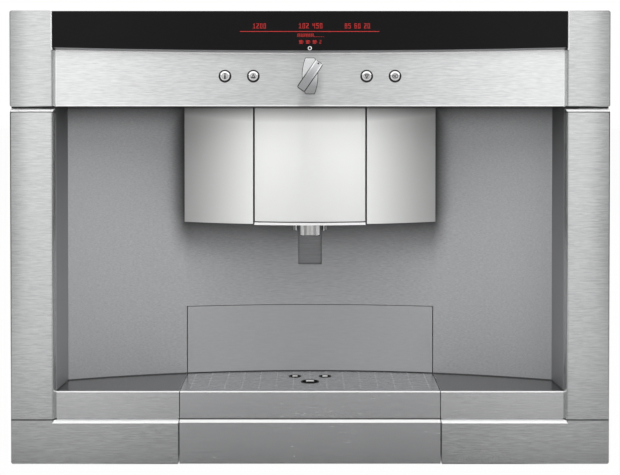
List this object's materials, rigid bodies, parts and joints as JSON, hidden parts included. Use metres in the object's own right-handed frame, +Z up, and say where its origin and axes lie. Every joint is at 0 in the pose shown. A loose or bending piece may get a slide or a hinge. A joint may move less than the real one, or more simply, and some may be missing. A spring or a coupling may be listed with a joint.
{
  "type": "built-in coffee machine",
  "caption": "Built-in fully automatic coffee machine on telescopic rails, with steel front, display, rotary selector, height-adjustable spout and drip tray.",
  "frame": {"origin": "middle of the underside of the bounding box, on the cabinet floor", "axes": "+X to the right along the front, +Y from the front towards the wall, +Z up"},
  "size_m": [0.595, 0.534, 0.451],
  "materials": {
    "brushed_front": "brushed, satin",
    "brushed_sheet": "brushed",
    "display_glass": "polished black",
    "trim_grey": "satin",
    "satin_silver": "satin silver",
    "polished_chrome": "polished",
    "chromed_plastic": "chrome plated",
    "button_chrome": "satin chrome",
    "knob_silver": "satin chrome",
    "black_plastic": "matte",
    "circuit_board": "green board",
    "zinc_sheet": "galvanised sheet",
    "polished_steel": "ground",
    "burr_steel": "hardened",
    "clear_plastic": "clear",
    "smoked_plastic": "smoked",
    "cast_aluminium": "as cast",
    "pump_grey": "matte",
    "piston_plastic": "gloss"
  },
  "bodies": {
    "cabinet_mount": {"mounting_plate": "zinc_sheet", "outer_rails": "zinc_sheet"},
    "rail_carriers": {"middle_rails": "zinc_sheet", "rail_balls": "polished_steel"},
    "machine": {"inner_rails": "zinc_sheet", "base_pan": "zinc_sheet", "side_panel_left": "zinc_sheet", "side_panel_right": "zinc_sheet", "rear_panel": "zinc_sheet", "top_panel": "zinc_sheet", "front_carrier": "black_plastic", "end_cap_left": "brushed_front", "end_cap_right": "brushed_front", "frame_left": "brushed_front", "frame_right": "brushed_front", "display_glass": "display_glass", "display_trim": "trim_grey", "display_module": "black_plastic", "control_panel": "brushed_sheet", "control_board": "circuit_board", "knob_base": "knob_silver", "ledge_left": "brushed_sheet", "ledge_right": "brushed_sheet", "niche_liner": "brushed_sheet", "niche_ceiling": "brushed_sheet", "head_cover_left": "satin_silver", "head_cover_right": "satin_silver", "head_frame": "black_plastic", "guide_rods": "polished_steel", "bean_hopper": "smoked_plastic", "grinder": "black_plastic", "ring_burr": "burr_steel", "brew_unit": "black_plastic", "brew_drive": "black_plastic", "thermoblock": "cast_aluminium", "water_pump": "pump_grey", "tank_dock": "black_plastic", "power_board": "circuit_board", "mains_inlet": "black_plastic"},
    "drip_tray": {"tray_front": "brushed_sheet", "drip_pan": "black_plastic", "grounds_container": "black_plastic"},
    "drip_grid": {"drip_plate": "brushed_sheet", "drain_rings": "polished_chrome"},
    "outlet": {"outlet_cover": "satin_silver", "outlet_block": "chromed_plastic", "coffee_spout": "polished_chrome", "side_nozzles": "polished_chrome"},
    "knob": {"rotary_knob": "knob_silver"},
    "button_info": {"button_info": "button_chrome"},
    "button_up": {"button_up": "button_chrome"},
    "button_down": {"button_down": "button_chrome"},
    "button_cups": {"button_cups": "button_chrome"},
    "tank": {"water_tank": "clear_plastic"},
    "hopper_lid": {"bean_lid": "smoked_plastic"},
    "turning_burr": {"cone_burr": "burr_steel"},
    "piston": {"brew_piston": "piston_plastic"},
    "door": {"service_door": "zinc_sheet"},
    "switch": {"mains_switch": "black_plastic"}
  },
  "joints": [
    {"name": "machine_slide", "type": "slide", "parent": "cabinet_mount", "child": "machine", "axis": [0, -1, 0], "range_m": [0, 0.38]},
    {"name": "carrier_slide", "type": "slide", "parent": "cabinet_mount", "child": "rail_carriers", "axis": [0, -1, 0], "range_m": [0, 0.19]},
    {"name": "tray_slide", "type": "slide", "parent": "machine", "child": "drip_tray", "axis": [0, -1, 0], "range_m": [0, 0.27]},
    {"name": "grid_lift", "type": "slide", "parent": "drip_tray", "child": "drip_grid", "axis": [0, 0, 1], "range_m": [0, 0.06]},
    {"name": "outlet_slide", "type": "slide", "parent": "machine", "child": "outlet", "axis": [0, 0, -1], "range_m": [0, 0.075]},
    {"name": "knob_turn", "type": "hinge", "parent": "machine", "child": "knob", "pos_m": [0, -0.245, 0.386], "axis": [0, 1, 0], "continuous": true},
    {"name": "tank_lift", "type": "slide", "parent": "machine", "child": "tank", "axis": [0, 0, 1], "range_m": [0, 0.23]},
    {"name": "lid_hinge", "type": "hinge", "parent": "machine", "child": "hopper_lid", "pos_m": [0.04, 0.173, 0.4464], "axis": [-1, 0, 0], "range_deg": [0, 100]},
    {"name": "burr_spin", "type": "hinge", "parent": "machine", "child": "turning_burr", "pos_m": [0.04, 0.1, 0.33], "axis": [0, 0, 1], "continuous": true},
    {"name": "piston_slide", "type": "slide", "parent": "machine", "child": "piston", "axis": [0, 0, 1], "range_m": [0, 0.03]},
    {"name": "door_hinge", "type": "hinge", "parent": "machine", "child": "door", "pos_m": [0.2653, -0.127, 0.215], "axis": [0, 0, -1], "range_deg": [0, 110]},
    {"name": "switch_rock", "type": "hinge", "parent": "machine", "child": "switch", "pos_m": [0.22, 0.26, 0.06], "axis": [1, 0, 0], "range_deg": [0, 16]},
    {"name": "button_info_press", "type": "slide", "parent": "machine", "child": "button_info", "axis": [0, 1, 0], "range_m": [0, 0.0012], "stiffness_N_per_m": 400, "springref_m": -0.002},
    {"name": "button_up_press", "type": "slide", "parent": "machine", "child": "button_up", "axis": [0, 1, 0], "range_m": [0, 0.0012], "stiffness_N_per_m": 400, "springref_m": -0.002},
    {"name": "button_down_press", "type": "slide", "parent": "machine", "child": "button_down", "axis": [0, 1, 0], "range_m": [0, 0.0012], "stiffness_N_per_m": 400, "springref_m": -0.002},
    {"name": "button_cups_press", "type": "slide", "parent": "machine", "child": "button_cups", "axis": [0, 1, 0], "range_m": [0, 0.0012], "stiffness_N_per_m": 400, "springref_m": -0.002}
  ],
  "couplings": [
    {"joint": "carrier_slide", "follows": "machine_slide", "ratio": 0.5}
  ]
}
